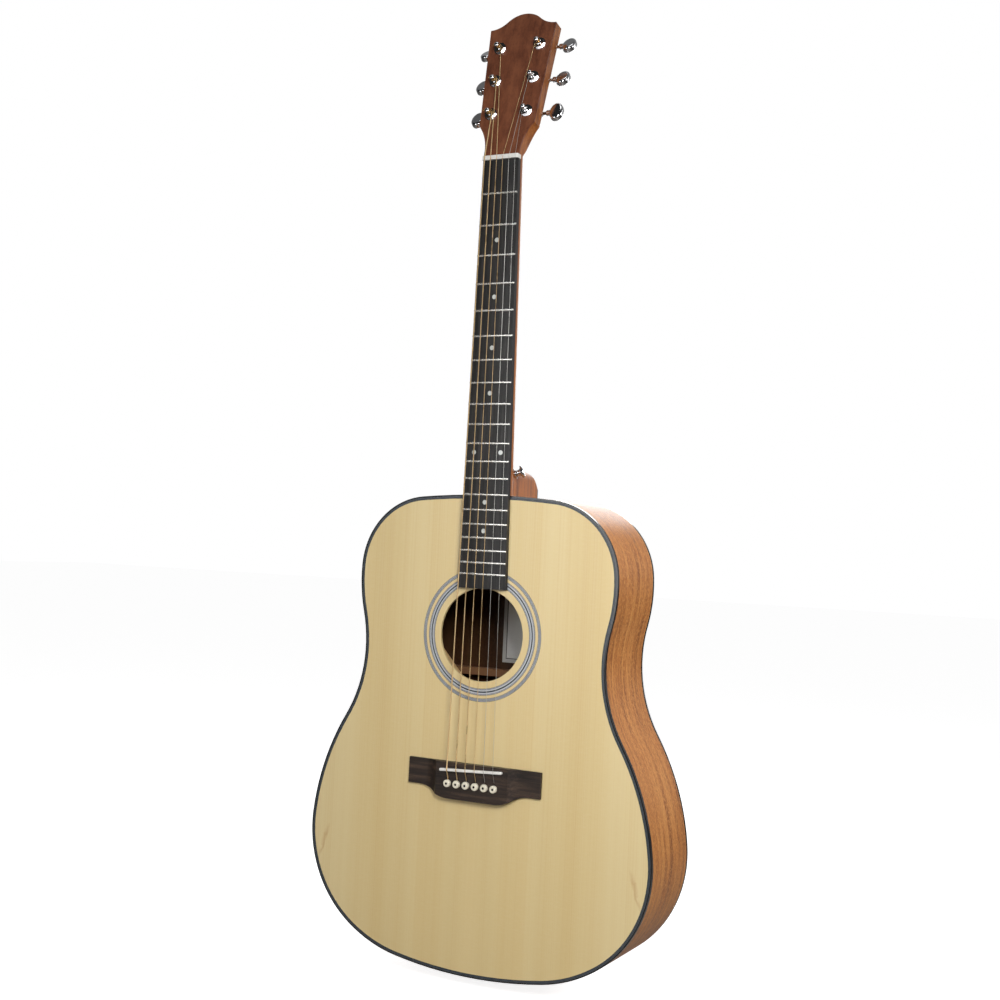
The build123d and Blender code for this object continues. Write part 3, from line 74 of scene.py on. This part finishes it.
class Graph:
    """One material's nodes, read in the row frame's coordinates."""

    def __init__(self, name, **constants):
        self.material = bpy.data.materials.new(name)
        self.material.use_nodes = True
        self.tree = self.material.node_tree
        self.shader = self.tree.nodes["Principled BSDF"]
        for socket, value in constants.items():
            self.shader.inputs[socket.replace("_", " ")].default_value = value

    def add(self, kind, inputs=None, **settings):
        node = self.tree.nodes.new(kind)
        for key, value in settings.items():
            setattr(node, key, value)
        for key, value in (inputs or {}).items():
            self.feed(node.inputs[key], value)
        return node

    def feed(self, socket, value):
        if isinstance(value, bpy.types.NodeSocket):
            self.tree.links.new(value, socket)
        else:
            socket.default_value = value

    def place(self):
        """Position in the row frame, in metres."""
        return self.add("ShaderNodeTexCoord").outputs["Object"]

    def parts(self, vector=None):
        """X, Y and Z of a vector."""
        split = self.add("ShaderNodeSeparateXYZ", {0: vector or self.place()})
        return split.outputs[0], split.outputs[1], split.outputs[2]

    def join(self, x, y, z):
        return self.add("ShaderNodeCombineXYZ", {0: x, 1: y, 2: z}).outputs[0]

    def math(self, operation, a, b=0.0, clamp=False):
        node = self.add("ShaderNodeMath", {0: a, 1: b}, operation=operation, use_clamp=clamp)
        return node.outputs[0]

    def stretched(self, sizes, mirrored=False, shift=0.0):
        """Position divided by a feature's size along X, Y and Z, in metres."""
        x, y, z = self.parts()
        if mirrored:
            x = self.math("ABSOLUTE", x)
        moved = [self.math("DIVIDE", value, size) for value, size in zip((x, y, z), sizes)]
        moved[0] = self.math("ADD", moved[0], shift)
        return self.join(*moved)

    def noise(self, vector, detail=2.0, roughness=0.5, distortion=0.0, scale=1.0):
        node = self.add(
            "ShaderNodeTexNoise",
            {
                "Vector": vector,
                "Scale": scale,
                "Detail": detail,
                "Roughness": roughness,
                "Distortion": distortion,
            },
        )
        return node.outputs["Fac"]

    def ramp(self, value, stops):
        node = self.add("ShaderNodeValToRGB", {"Fac": value})
        ramp = node.color_ramp
        while len(ramp.elements) < len(stops):
            ramp.elements.new(0.5)
        for element, (position, colour) in zip(ramp.elements, stops):
            element.position = position
            element.color = colour if len(colour) == 4 else (*colour, 1.0)
        return node.outputs["Color"]

    def span(self, value, low, high, out_low=0.0, out_high=1.0):
        """Value mapped from low..high to out_low..out_high, clamped."""
        node = self.add(
            "ShaderNodeMapRange",
            {"Value": value, 1: low, 2: high, 3: out_low, 4: out_high},
        )
        return node.outputs["Result"]

    def mix(self, share, a, b, blend="MIX"):
        node = self.add("ShaderNodeMix", data_type="RGBA", blend_type=blend)
        self.feed(node.inputs[0], share)
        self.feed(node.inputs[6], a if not isinstance(a, tuple) else full(a))
        self.feed(node.inputs[7], b if not isinstance(b, tuple) else full(b))
        return node.outputs[2]

    def finish(self, colour=None, roughness=None, height=None, bump=0.2, depth=0.0002):
        if colour is not None:
            self.feed(self.shader.inputs["Base Color"], colour)
        if roughness is not None:
            self.feed(self.shader.inputs["Roughness"], roughness)
        if height is not None:
            node = self.add(
                "ShaderNodeBump", {"Strength": bump, "Distance": depth, "Height": height}
            )
            self.feed(self.shader.inputs["Normal"], node.outputs[0])
        return self.material


def full(colour):
    return colour if len(colour) == 4 else (*colour, 1.0)


def linear(red, green, blue):
    """Linear colour of an sRGB colour from 0 to 255."""
    values = [level / 255 for level in (red, green, blue)]
    return tuple(v / 12.92 if v <= 0.04045 else ((v + 0.055) / 1.055) ** 2.4 for v in values)


def spruce():
    """Bookmatched spruce: fine straight grain under broad bands, and silk across it."""
    g = Graph("spruce_top", Coat_Weight=0.6, Coat_Roughness=0.42, Specular_IOR_Level=0.5)
    fine = g.noise(g.stretched((0.0011, 1.0, 0.9), mirrored=True), detail=3, roughness=0.6)
    broad = g.noise(g.stretched((0.016, 1.0, 1.3), mirrored=True, shift=7.3), detail=2)
    wide = g.noise(g.stretched((0.055, 1.0, 1.6), mirrored=True, shift=2.1), detail=1)
    silk = g.noise(g.stretched((0.009, 1.0, 0.0022), mirrored=True), detail=4, roughness=0.7)
    base = g.ramp(
        wide,
        [(0.3, linear(220, 196, 140)), (0.5, linear(226, 204, 150)), (0.7, linear(231, 211, 160))],
    )
    bands = g.mix(g.span(broad, 0.35, 0.68, 0.0, 0.28), base, linear(216, 184, 118))
    lines = g.mix(g.span(fine, 0.50, 0.72, 0.0, 0.24), bands, linear(204, 160, 102))
    shimmer = g.mix(g.span(silk, 0.45, 0.75, 0.0, 0.10), lines, linear(240, 226, 190))
    # Short curls in the grain near the lower bout's edges, the same on both halves
    x, y, z = g.parts()
    across = g.math("SUBTRACT", g.math("ABSOLUTE", x), 0.188)
    along = g.math("SUBTRACT", z, -0.777)
    wander = g.noise(g.stretched((0.006, 1.0, 0.012), mirrored=True), detail=3)
    slant = g.math("SUBTRACT", across, g.math("MULTIPLY", along, -0.32))
    bent = g.math("ADD", slant, g.span(wander, 0.2, 0.8, -0.003, 0.003))
    thin = g.span(g.math("ABSOLUTE", bent), 0.0, 0.0028, 1.0, 0.0)
    short = g.span(g.math("ABSOLUTE", along), 0.008, 0.021, 1.0, 0.0)
    claw = g.math("MULTIPLY", thin, short)
    colour = g.mix(g.math("MULTIPLY", claw, 0.5), shimmer, linear(190, 140, 84))
    rough = g.span(broad, 0.3, 0.7, 0.36, 0.44)
    return g.finish(colour, rough, fine, bump=0.10, depth=0.00008)


def mahogany(name, sizes, light, mid, dark, mirrored=False, coat=0.15, pore=1.0, painted_shade_inside=False):
    """Ribboned mahogany. sizes is the ribbon's length in metres and the axes it runs along."""
    run, across = sizes

    def stretch(width, length):
        return tuple(length if axis else width for axis in across)

    g = Graph(name, Coat_Weight=coat, Coat_Roughness=0.3, Specular_IOR_Level=0.4)
    ribbon = g.noise(g.stretched(stretch(0.0085, run), mirrored), detail=4, roughness=0.62)
    fine = g.stretched(stretch(0.0022, run * 0.8), mirrored, 4.7)
    stripe = g.noise(fine, detail=3, roughness=0.6)
    mottle = g.noise(g.stretched(stretch(0.0018, 0.0034), mirrored, 1.9), detail=2, roughness=0.7)
    cloud = g.noise(g.stretched(stretch(0.05, 0.12), mirrored, 9.1), detail=1)
    pores = g.noise(g.stretched(stretch(0.00045, 0.0035), mirrored, 3.3), detail=1)
    base = g.ramp(ribbon, [(0.32, dark), (0.5, mid), (0.7, light)])
    streak = g.mix(g.span(stripe, 0.5, 0.74, 0.0, 0.55), base, dark)
    figure = g.mix(g.span(mottle, 0.48, 0.60, 0.0, 0.60 * pore), streak, light)
    soft = g.mix(g.span(cloud, 0.3, 0.7, 0.0, 0.18), figure, mid)
    open_pore = g.span(pores, 0.60, 0.70, 0.0, 0.55 * pore)
    colour = g.mix(open_pore, soft, tuple(c * 0.30 for c in dark))
    # Painted shade: faces looking into the body are darkened almost to black brown, standing in
    # for the shade inside the body
    if painted_shade_inside:
        normal = g.add("ShaderNodeNewGeometry").outputs["Normal"]
        inward_painted_shade = g.math("LESS_THAN", g.parts(normal)[1], -0.5)
        colour = g.mix(inward_painted_shade, colour, g.mix(0.92, colour, linear(34, 21, 15)))
    rough = g.span(ribbon, 0.3, 0.7, 0.36, 0.48)
    height = g.math("SUBTRACT", g.math("MULTIPLY", stripe, 0.4), open_pore)
    return g.finish(colour, rough, height, bump=0.22, depth=0.00012)


ALONG_X = (True, False, False)
ALONG_Z = (False, False, True)
AROUND = (True, False, True)


def dark_wood(name, along, base, streak, deep, coat=0.05, rough=(0.38, 0.55)):
    """Rosewood: a dark base with paler streaks and open pores along the grain."""

    def stretch(width, length):
        return tuple(length if axis else width for axis in along)

    g = Graph(name, Coat_Weight=coat, Coat_Roughness=0.35, Specular_IOR_Level=0.45)
    wide = g.noise(g.stretched(stretch(0.006, 0.10)), detail=4, roughness=0.65)
    thin = g.noise(g.stretched(stretch(0.0011, 0.045), shift=5.5), detail=3, roughness=0.6)
    pores = g.noise(g.stretched(stretch(0.00035, 0.003), shift=8.8), detail=1)
    tone = g.ramp(wide, [(0.35, deep), (0.52, base), (0.72, streak)])
    lines = g.mix(g.span(thin, 0.52, 0.74, 0.0, 0.55), tone, streak)
    open_pore = g.span(pores, 0.60, 0.70, 0.0, 0.7)
    colour = g.mix(open_pore, lines, tuple(c * 0.35 for c in deep))
    height = g.math("SUBTRACT", 0.0, open_pore)
    return g.finish(colour, g.span(thin, 0.3, 0.7, *rough), height, bump=0.2, depth=0.0001)


def pale_wood(name, pale=(196, 158, 108), palest=(214, 182, 134), line=(160, 120, 74)):
    """Raw wood inside the body."""
    g = Graph(name, Specular_IOR_Level=0.3)
    wide = g.noise(g.stretched((0.02, 0.02, 0.25)), detail=3)
    fine = g.noise(g.stretched((0.0012, 0.0012, 0.08), shift=3.0), detail=3, roughness=0.6)
    base = g.ramp(wide, [(0.3, linear(*pale)), (0.7, linear(*palest))])
    colour = g.mix(g.span(fine, 0.5, 0.75, 0.0, 0.35), base, linear(*line))
    return g.finish(colour, g.span(fine, 0.3, 0.7, 0.6, 0.75), fine, 0.15, 0.0001)


def plastic(name, dark, light, rough=(0.16, 0.26), size=0.004, coat=0.4, bump=0.04):
    """Moulded plastic with a faint cloud and fine rub marks."""
    g = Graph(name, Coat_Weight=coat, Coat_Roughness=0.12)
    cloud = g.noise(g.stretched((size, size, size)), detail=3, roughness=0.6)
    rub = g.noise(g.stretched((size * 0.08, size * 0.08, size * 0.8), shift=2.2), detail=2)
    colour = g.ramp(cloud, [(0.35, dark), (0.65, light)])
    return g.finish(colour, g.span(rub, 0.3, 0.7, *rough), rub, bump, 0.00003)


def pearl(name):
    """Position marks: pale shell with a shimmer."""
    g = Graph(name, Coat_Weight=0.8, Coat_Roughness=0.08, Specular_IOR_Level=0.6)
    warp = g.noise(g.stretched((0.0022, 0.0022, 0.0016)), detail=4, roughness=0.6, distortion=1.2)
    shimmer = g.ramp(
        warp,
        [
            (0.30, linear(150, 152, 150)),
            (0.46, linear(214, 214, 206)),
            (0.56, linear(188, 196, 196)),
            (0.68, linear(238, 234, 222)),
        ],
    )
    return g.finish(shimmer, g.span(warp, 0.3, 0.7, 0.15, 0.3), warp, 0.05, 0.00005)


def metal(name, colour, rough, size=0.002, tarnish=0.10, bump=0.03, metallic=1.0):
    """Plated or drawn metal with faint smudges and hairline marks."""
    g = Graph(name, Metallic=metallic)
    smudge = g.noise(g.stretched((size * 3, size * 3, size * 3)), detail=3, roughness=0.6)
    hair = g.noise(g.stretched((size * 0.10, size * 1.2, size * 0.10), shift=1.7), detail=2)
    shade = tuple(c * (1 - tarnish) for c in colour)
    tint = g.mix(g.span(smudge, 0.35, 0.7), colour, shade)
    rubbed = g.span(hair, 0.4, 0.8, 0.0, 0.03)
    spread = g.math("ADD", g.span(smudge, 0.3, 0.7, *rough), rubbed)
    return g.finish(tint, spread, hair, bump, 0.00002)


def wound_wire(name, pitch):
    """Bronze wire wound on a core: fine ribs across the string."""
    g = Graph(name, Metallic=0.55)
    turn = g.math("MULTIPLY", g.parts()[2], 2 * math.pi / pitch)
    wave = g.math("SINE", turn)
    # Painted shade: the grooves between the turns of wire are darkened
    groove_shade = g.span(wave, -1.0, 0.2, 1.0, 0.0)
    smudge = g.noise(g.stretched((0.004, 0.004, 0.02)), detail=3)
    base = g.ramp(smudge, [(0.3, linear(220, 186, 134)), (0.7, linear(236, 204, 152))])
    colour = g.mix(g.math("MULTIPLY", groove_shade, 0.35), base, linear(120, 84, 46))
    return g.finish(colour, g.span(smudge, 0.3, 0.7, 0.26, 0.36), wave, 0.55, 0.00008)


def inlay_lines(name, tone, other, edge):
    """Laminated fibre strips with a fine fleck along them."""
    g = Graph(name, Coat_Weight=0.3, Coat_Roughness=0.25)
    fleck = g.noise(g.stretched((0.0012, 0.0012, 0.0012)), detail=3, roughness=0.7)
    cloud = g.noise(g.stretched((0.03, 0.03, 0.03)), detail=1)
    base = g.mix(g.span(cloud, 0.3, 0.7, 0.0, 0.5), tone, other)
    speckled = g.mix(g.span(fleck, 0.45, 0.7, 0.0, 0.15), base, other)
    # The lines along the binding are a darker stock than the rosette's
    x, _, z = g.parts()
    from_hole = g.math("SUBTRACT", z, HOLE_Z)
    squares = g.math("ADD", g.math("MULTIPLY", x, x), g.math("MULTIPLY", from_hole, from_hole))
    colour = g.mix(g.math("GREATER_THAN", squares, 0.0064), speckled, edge)
    return g.finish(colour, g.span(fleck, 0.3, 0.7, 0.34, 0.46), fleck, 0.05, 0.00003)


def label_paper(name):
    """Blank paper label: a pale field inside a dark line and a grey band."""
    low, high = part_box("label")
    g = Graph(name, Specular_IOR_Level=0.2, Sheen_Weight=0.15)
    x, _, z = g.parts()
    middle = (Vector(low) + Vector(high)) / 2
    half = (Vector(high) - Vector(low)) / 2
    side = g.math("SUBTRACT", half.x, g.math("ABSOLUTE", g.math("SUBTRACT", x, middle.x)))
    end = g.math("SUBTRACT", half.z, g.math("ABSOLUTE", g.math("SUBTRACT", z, middle.z)))
    edge = g.math("MINIMUM", side, end)
    fibre = g.noise(g.stretched((0.0006, 0.001, 0.0006)), detail=4, roughness=0.7)
    stain = g.noise(g.stretched((0.02, 0.02, 0.02)), detail=2)
    paper = g.ramp(stain, [(0.3, linear(236, 234, 228)), (0.7, linear(246, 244, 240))])
    band = g.math("LESS_THAN", edge, 0.0042)
    within = g.math("LESS_THAN", edge, 0.0052)
    line = g.math("MULTIPLY", g.math("GREATER_THAN", edge, 0.0042), within)
    banded = g.mix(g.math("MULTIPLY", band, 0.5), paper, linear(150, 148, 142))
    ruled = g.mix(g.math("MULTIPLY", line, 0.9), banded, linear(42, 38, 36))
    colour = g.mix(g.span(fibre, 0.4, 0.7, 0.0, 0.12), ruled, linear(120, 112, 100))
    return g.finish(colour, g.span(fibre, 0.3, 0.7, 0.75, 0.9), fibre, 0.1, 0.00005)


LIGHT_SIDE = linear(212, 150, 84)
MID_SIDE = linear(178, 112, 56)
DARK_SIDE = linear(112, 60, 28)

top_wood = spruce()
side_wood = mahogany("mahogany_side", (0.16, AROUND), LIGHT_SIDE, MID_SIDE, DARK_SIDE)
back_wood = mahogany(
    "mahogany_back",
    (0.25, ALONG_Z),
    LIGHT_SIDE,
    MID_SIDE,
    DARK_SIDE,
    mirrored=True,
    # painted shade on the back's inner face
    painted_shade_inside=True,
)
neck_wood = mahogany(
    "mahogany_neck",
    (0.12, ALONG_Z),
    linear(190, 120, 58),
    linear(160, 94, 44),
    linear(100, 52, 24),
    coat=0.1,
    pore=0.5,
)
face_wood = mahogany(
    "mahogany_face",
    (0.05, ALONG_Z),
    linear(142, 86, 56),
    linear(120, 69, 46),
    linear(90, 48, 32),
    coat=0.15,
    pore=0.5,
)
board_wood = dark_wood(
    "rosewood_board", ALONG_Z, linear(30, 29, 29), linear(56, 54, 53), linear(17, 16, 16)
)
bridge_wood = dark_wood(
    "rosewood_bridge", ALONG_X, linear(48, 36, 29), linear(86, 67, 54), linear(25, 18, 14)
)
plate_wood = dark_wood(
    "rosewood_plate", ALONG_X, linear(66, 44, 32), linear(96, 68, 50), linear(40, 26, 20)
)
inner_wood = pale_wood("spruce_inside")
brace_wood = pale_wood("mahogany_inside", (118, 82, 54), (138, 98, 66), (84, 54, 34))
black = plastic("binding_black", linear(14, 14, 16), linear(24, 24, 26), coat=0.5)
black_cap = plastic("black_dot", linear(12, 12, 12), linear(22, 22, 22), size=0.002)
bone = plastic("bone", linear(232, 230, 224), linear(243, 241, 236), (0.22, 0.34), 0.003, 0.3)
cream = plastic("cream_pin", linear(228, 220, 198), linear(240, 233, 214), (0.18, 0.3), 0.003)
dark_line = inlay_lines("inlay_dark", linear(38, 40, 46), linear(58, 60, 68), linear(26, 28, 33))
pale_line = inlay_lines(
    "inlay_pale", linear(196, 199, 203), linear(172, 176, 184), linear(78, 86, 94)
)
shell = pearl("pearl_mark")
chrome = metal("chrome", (0.80, 0.80, 0.82), (0.06, 0.13))
fret_metal = metal("fret_nickel", (0.84, 0.83, 0.79), (0.2, 0.3), bump=0.0, metallic=0.85)
steel = metal("plain_string", linear(206, 204, 198), (0.26, 0.38), size=0.004, metallic=0.6)
bolt = metal("bolt_steel", (0.36, 0.36, 0.37), (0.32, 0.45))
bronze = metal("bronze_wrap", linear(198, 156, 98), (0.20, 0.32), size=0.001, tarnish=0.35)
paper = label_paper("label_paper")

looks = {
    "soundboard": top_wood,
    "inlays_dark": dark_line,
    "inlays_light": pale_line,
    "top_binding": black,
    "back_binding": black,
    "back_plate": back_wood,
    "bass_side": side_wood,
    "treble_side": side_wood,
    "tail_graft": black,
    "neck_block": inner_wood,
    "tail_block": inner_wood,
    "linings": inner_wood,
    "x_braces": inner_wood,
    "top_braces": inner_wood,
    "bridge_plate": plate_wood,
    "back_braces": brace_wood,
    "label": paper,
    "strap_buttons": chrome,
    "heel_cap": black,
    "neck": neck_wood,
    "headplate": face_wood,
    "fingerboard": board_wood,
    "frets": fret_metal,
    "position_marks": shell,
    "nut": bone,
    "saddle": bone,
    "bridge": bridge_wood,
    "bridge_pins": cream,
    "bridge_pin_dots": black_cap,
    "truss_rod": bolt,
    "truss_rod_nut": bolt,
    "neck_bolts": bolt,
    "tuner_housings": chrome,
    "tuner_bushings": chrome,
    "wood_screws": chrome,
}
for name in STRINGS:
    looks[f"tuner_post_{name}"] = chrome
    looks[f"tuner_button_{name}"] = chrome
pitches = dict(zip(WOUND, (0.00042, 0.00036, 0.00030, 0.00026)))
for name in WOUND:
    looks[f"string_{name}"] = wound_wire(f"wound_{name}", pitches[name])
for name in PLAIN:
    looks[f"string_{name}"] = steel

for name, material in looks.items():
    for material_slot in nodes[name].material_slots:
        material_slot.material = material


# ---- the strings' turns about their posts --------------------------------------------------

TURNS = dict(zip(STRINGS, (3, 3, 4, 4, 5, 5)))
STEPS_PER_TURN = 20
TURN_RISE = 1.95  # along the post per turn, in radii of the string
POST_WAIST = 2.0 * MM
END_LENGTH = 2.2 * MM
TAIL_LIFT = 0.4 * MM
TAIL_LENGTH = 2.2 * MM
WIRE = dict(zip(STRINGS, (1.346, 1.067, 0.813, 0.610, 0.406, 0.305)))


def string_end(name):
    """Middle of the string's end at its post."""
    corners = [Vector(v.co) for v in nodes[f"string_{name}"].data.vertices]
    top = max(corner.z for corner in corners)
    end = [corner for corner in corners if top - corner.z < END_LENGTH]
    return sum(end, Vector()) / len(end)


def coil(name):
    """The string wound up its post, then through it, with its cut end left standing out."""
    joint = joints[f"post_{name}_turn"]
    foot = Vector(joint["pos_m"])
    axis = Vector(joint["axis"]).normalized()
    radius = WIRE[name] * MM / 2
    end = string_end(name) - foot
    level = end.dot(axis)
    spoke = end - axis * level
    out = spoke.normalized()
    hand = 1 if foot.x < 0 else -1
    turned = axis.cross(out) * hand
    start_reach = spoke.length
    close_reach = POST_WAIST + radius
    count = TURNS[name] * STEPS_PER_TURN
    points = []
    for step in range(count + 1):
        angle = 2 * math.pi * step / STEPS_PER_TURN
        share = min(1.0, step / (STEPS_PER_TURN / 2))
        reach = start_reach + (close_reach - start_reach) * share
        height = level + TURN_RISE * radius * step / STEPS_PER_TURN
        points.append(
            foot + axis * height + (out * math.cos(angle) + turned * math.sin(angle)) * reach
        )
    top = level + TURN_RISE * radius * TURNS[name] + radius
    points.append(foot + axis * top + out * (close_reach * 0.6))
    points.append(foot + axis * top - out * (close_reach * 0.9))
    points.append(foot + axis * (top + TAIL_LIFT) - out * (close_reach + TAIL_LENGTH))
    curve = bpy.data.curves.new(f"turns_{name}", "CURVE")
    curve.dimensions = "3D"
    curve.bevel_depth = radius
    curve.bevel_resolution = 3
    curve.use_fill_caps = True
    spline = curve.splines.new("POLY")
    spline.points.add(len(points) - 1)
    for target, point in zip(spline.points, points):
        target.co = (*point, 1.0)
    piece = bpy.data.objects.new(f"turns_{name}", curve)
    bpy.context.scene.collection.objects.link(piece)
    curve.materials.append(bronze if name in WOUND else steel)
    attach(piece, f"post_{name}")
    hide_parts(f"string_wraps_{name}")


for name in STRINGS:
    coil(name)


# ---- floor, lights and camera ---------------------------------------------------------------

floor_gap = 2 * MM
floor_reach = 12.0
corners = [(-1, -1), (1, -1), (1, 1), (-1, 1)]
ground = bpy.data.meshes.new("floor")
ground.from_pydata(
    [(x * floor_reach, y * floor_reach, cad_low[2] - floor_gap) for x, y in corners],
    [],
    [(0, 1, 2, 3)],
)
floor = bpy.data.objects.new("floor", ground)
bpy.context.scene.collection.objects.link(floor)
g = Graph("pale_floor", Roughness=0.8, Emission_Color=(1.0, 1.0, 1.0, 1.0))
seen = g.add("ShaderNodeLightPath").outputs["Is Camera Ray"]
speck = g.noise(g.stretched((0.03, 0.03, 0.03)), detail=3)
pale = g.ramp(speck, [(0.3, (0.80,) * 3), (0.7, (0.83,) * 3)])
g.feed(g.shader.inputs["Emission Strength"], g.math("MULTIPLY", seen, 0.86))
ground.materials.append(g.finish(g.mix(seen, (0.30, 0.28, 0.26), pale)))

world = bpy.data.worlds.new("studio")
bpy.context.scene.world = world
world.use_nodes = True
sky = world.node_tree
backing = sky.nodes["Background"]
backing.inputs["Color"].default_value = (1.0, 1.0, 1.0, 1.0)
path = sky.nodes.new("ShaderNodeLightPath")
place = sky.nodes.new("ShaderNodeTexCoord")
split = sky.nodes.new("ShaderNodeSeparateXYZ")
sky.links.new(place.outputs["Generated"], split.inputs[0])


def blend_value(share, low, high):
    """One number or another in the world's nodes."""
    node = sky.nodes.new("ShaderNodeMix")
    for socket, value in zip((0, 2, 3), (share, low, high)):
        if isinstance(value, float):
            node.inputs[socket].default_value = value
        else:
            sky.links.new(value, node.inputs[socket])
    return node.outputs[0]


# The room in front of the guitar is dark in reflections, with pale walls behind and above
walls = sky.nodes.new("ShaderNodeMapRange")
sky.links.new(split.outputs[1], walls.inputs["Value"])
for socket, value in zip((1, 2, 3, 4), (-0.35, 0.75, 0.02, 0.30)):
    walls.inputs[socket].default_value = value
mirrored_room = blend_value(path.outputs["Is Glossy Ray"], 0.14, walls.outputs["Result"])
strength = blend_value(path.outputs["Is Camera Ray"], mirrored_room, 1.0)
sky.links.new(strength, backing.inputs["Strength"])


def softbox(name, spot, aim, size, power, spread=180):
    """A soft light at a spot, turned to its aim. spread is its cone in degrees."""
    light = bpy.data.lights.new(name, "AREA")
    light.shape = "RECTANGLE"
    light.size, light.size_y = size
    light.energy = power
    light.spread = math.radians(spread)
    lamp = bpy.data.objects.new(name, light)
    lamp.location = spot
    lamp.rotation_euler = (Vector(aim) - Vector(spot)).to_track_quat("-Z", "Y").to_euler()
    bpy.context.scene.collection.objects.link(lamp)


middle = (0.0, 0.0, -0.45)
softbox("key", (0.80, -1.05, 0.02), (0.16, 0.0, -0.50), (0.4, 0.5), 4.1, 90)
softbox("fill", (-0.42, -1.45, -0.25), (0.0, 0.0, -0.50), (0.6, 0.8), 2.2, 120)
softbox("side", (1.3, 0.22, 0.05), (0.15, 0.05, -0.55), (0.3, 0.5), 1.9, 90)
softbox("top", (0.2, -0.5, 1.5), middle, (0.9, 0.5), 3.0)
softbox("rim", (1.5, 1.3, 0.3), middle, (0.5, 1.2), 4.0)
softbox("behind", (-0.5, 2.0, 0.1), middle, (1.0, 1.0), 8.0, 140)

scene = bpy.context.scene
scene.view_settings.view_transform = "Standard"
scene.view_settings.look = "None"

# The photograph's viewpoint
camera_spot = (0.72074, -1.34883, -0.43520)
focal_length = 51.52
yaw, pitch, roll = 0.482, -0.030, 0.046
flat = math.cos(pitch)
ahead = Vector((-math.sin(yaw) * flat, math.cos(yaw) * flat, -math.sin(pitch)))
level = Vector((math.cos(yaw), math.sin(yaw), 0.0))
above = level.cross(ahead)
right = level * math.cos(roll) + above * math.sin(roll)
up = above * math.cos(roll) - level * math.sin(roll)
lens = bpy.data.cameras.new("camera")
lens.sensor_width = 36.0
lens.lens = focal_length
lens.clip_start, lens.clip_end = 0.05, 60.0
camera = bpy.data.objects.new("camera", lens)
turn = Matrix((right, up, -ahead)).transposed().to_4x4()
camera.matrix_world = Matrix.Translation(camera_spot) @ turn
scene.collection.objects.link(camera)
scene.camera = camera
